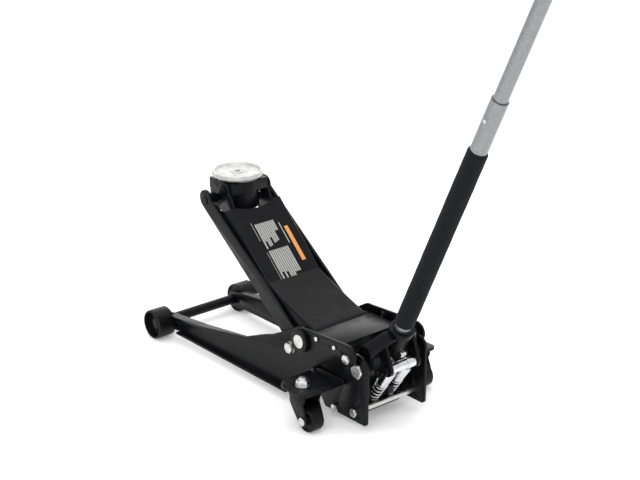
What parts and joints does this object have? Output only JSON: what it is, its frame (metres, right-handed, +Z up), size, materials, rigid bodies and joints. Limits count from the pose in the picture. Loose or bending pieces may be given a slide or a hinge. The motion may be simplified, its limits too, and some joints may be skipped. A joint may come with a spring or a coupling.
{
  "type": "hydraulic floor jack",
  "caption": "Low trolley jack on wheels with a hydraulic lift arm, a self-levelling saddle and a long foam-sleeved pump handle.",
  "frame": {"origin": "on the floor, under the middle of the bounding box", "axes": "+X from the front wheels to the pump handle, +Y to the far side, +Z up"},
  "size_m": [1.1988, 0.376, 1.2464],
  "materials": {
    "black_paint": "gloss",
    "zinc": "satin",
    "ground_steel": "polished",
    "handle_steel": "satin",
    "saddle_casting": "rough zinc plate",
    "spring_steel": "satin",
    "wheel": "satin",
    "foam": "matte",
    "cap_plastic": "matte"
  },
  "bodies": {
    "frame": {"side_plate_near": "black_paint", "side_plate_far": "black_paint", "housing_plate_near": "black_paint", "housing_plate_far": "black_paint", "housing_cover": "black_paint", "caster_bracket_near": "black_paint", "caster_bracket_far": "black_paint", "front_axle": "black_paint", "front_axle_clips": "zinc", "rear_tie_rod": "zinc", "rear_tie_rod_nuts": "zinc", "cover_screws": "zinc", "frame_bolts": "zinc", "plate_spacers": "black_paint", "lift_pivot_pin": "zinc", "pivot_collars": "black_paint", "link_bolts": "zinc", "yoke_pivot_bolts": "zinc", "kingpin_bolts": "zinc", "ram_cylinder": "black_paint", "ram_gland_nut": "zinc", "pump_block": "black_paint"},
    "front_wheel_near": {"front_wheel_near": "wheel"},
    "front_wheel_far": {"front_wheel_far": "wheel"},
    "caster_near": {"caster_fork_near": "black_paint", "caster_axle_near": "zinc"},
    "caster_far": {"caster_fork_far": "black_paint", "caster_axle_far": "zinc"},
    "caster_wheel_near": {"caster_wheel_near": "wheel"},
    "caster_wheel_far": {"caster_wheel_far": "wheel"},
    "lift_arm": {"arm_side_plates": "black_paint", "arm_cover": "black_paint", "arm_pivot_tube": "black_paint", "push_lugs": "black_paint", "push_pin": "zinc", "head_pin": "zinc"},
    "head": {"saddle_head": "black_paint", "link_pins": "zinc"},
    "levelling_links": {"levelling_link_near": "black_paint", "levelling_link_far": "black_paint"},
    "saddle": {"saddle": "saddle_casting", "saddle_clip": "zinc"},
    "ram": {"ram_piston": "ground_steel", "ram_crosshead": "black_paint", "return_springs": "spring_steel"},
    "plungers": {"plunger_near": "ground_steel", "plunger_far": "ground_steel", "plunger_springs": "spring_steel"},
    "release_valve": {"release_valve_stem": "zinc"},
    "yoke": {"yoke_fork": "black_paint", "roller_bolt": "zinc", "handle_socket": "black_paint", "socket_bolt": "zinc"},
    "roller": {"yoke_roller": "ground_steel"},
    "handle": {"handle_drive": "zinc", "lower_tube": "handle_steel", "foam_sleeve": "foam", "upper_tube": "handle_steel", "end_cap": "cap_plastic"},
    "snap_button": {"snap_button": "zinc"}
  },
  "joints": [
    {"name": "lift", "type": "hinge", "parent": "frame", "child": "lift_arm", "pos_m": [-0.08143, 0, 0.149], "axis": [0, 1, 0], "range_deg": [-50, 17]},
    {"name": "head_level", "type": "hinge", "parent": "lift_arm", "child": "head", "pos_m": [-0.39731, 0, 0.38617], "axis": [0, 1, 0], "range_deg": [-17, 50]},
    {"name": "link_swing", "type": "hinge", "parent": "frame", "child": "levelling_links", "pos_m": [-0.11043, 0, 0.125], "axis": [0, 1, 0], "range_deg": [-50, 17]},
    {"name": "saddle_turn", "type": "hinge", "parent": "head", "child": "saddle", "pos_m": [-0.41643, 0, 0.40217], "axis": [0, 0, 1], "continuous": true},
    {"name": "ram_stroke", "type": "slide", "parent": "frame", "child": "ram", "axis": [-1, 0, 0], "range_m": [-0.0525, 0.0185], "deforming": ["return_springs"]},
    {"name": "front_wheel_near_spin", "type": "hinge", "parent": "frame", "child": "front_wheel_near", "pos_m": [-0.56543, -0.1215, 0.034], "axis": [0, 1, 0], "continuous": true},
    {"name": "front_wheel_far_spin", "type": "hinge", "parent": "frame", "child": "front_wheel_far", "pos_m": [-0.56543, 0.1215, 0.034], "axis": [0, 1, 0], "continuous": true},
    {"name": "caster_near_swivel", "type": "hinge", "parent": "frame", "child": "caster_near", "pos_m": [-0.00943, -0.155, 0.084], "axis": [0, 0, 1], "continuous": true},
    {"name": "caster_wheel_near_spin", "type": "hinge", "parent": "caster_near", "child": "caster_wheel_near", "pos_m": [0.01657, -0.155, 0.026], "axis": [0, 1, 0], "continuous": true},
    {"name": "caster_far_swivel", "type": "hinge", "parent": "frame", "child": "caster_far", "pos_m": [-0.00943, 0.155, 0.084], "axis": [0, 0, 1], "continuous": true},
    {"name": "caster_wheel_far_spin", "type": "hinge", "parent": "caster_far", "child": "caster_wheel_far", "pos_m": [0.01657, 0.155, 0.026], "axis": [0, 1, 0], "continuous": true},
    {"name": "pump", "type": "hinge", "parent": "frame", "child": "yoke", "pos_m": [0.08057, 0, 0.134], "axis": [0, 1, 0], "range_deg": [-8, 40]},
    {"name": "roller_spin", "type": "hinge", "parent": "yoke", "child": "roller", "pos_m": [0.11857, 0, 0.135], "axis": [0, 1, 0], "continuous": true},
    {"name": "plunger_stroke", "type": "slide", "parent": "frame", "child": "plungers", "axis": [-0.5878, 0, -0.809], "range_m": [-0.0049, 0.0242], "deforming": ["plunger_springs"]},
    {"name": "release_twist", "type": "hinge", "parent": "yoke", "child": "handle", "pos_m": [0.08057, 0, 0.134], "axis": [0.4147, 0, 0.91], "range_deg": [0, 180]},
    {"name": "release_valve_turn", "type": "hinge", "parent": "frame", "child": "release_valve", "pos_m": [0.08057, 0, 0.134], "axis": [0, 0, 1], "range_deg": [0, 180]},
    {"name": "snap_button_press", "type": "slide", "parent": "handle", "child": "snap_button", "axis": [0, 1, 0], "range_m": [0, 0.0035], "stiffness_N_per_m": 400}
  ],
  "couplings": [
    {"joint": "head_level", "follows": "lift", "ratio": -1},
    {"joint": "link_swing", "follows": "lift", "ratio": 1},
    {"joint": "ram_stroke", "follows": "lift", "m_per_rad": 0.059},
    {"joint": "plunger_stroke", "follows": "pump", "m_per_rad": 0.0345},
    {"joint": "release_valve_turn", "follows": "release_twist", "ratio": 1}
  ]
}
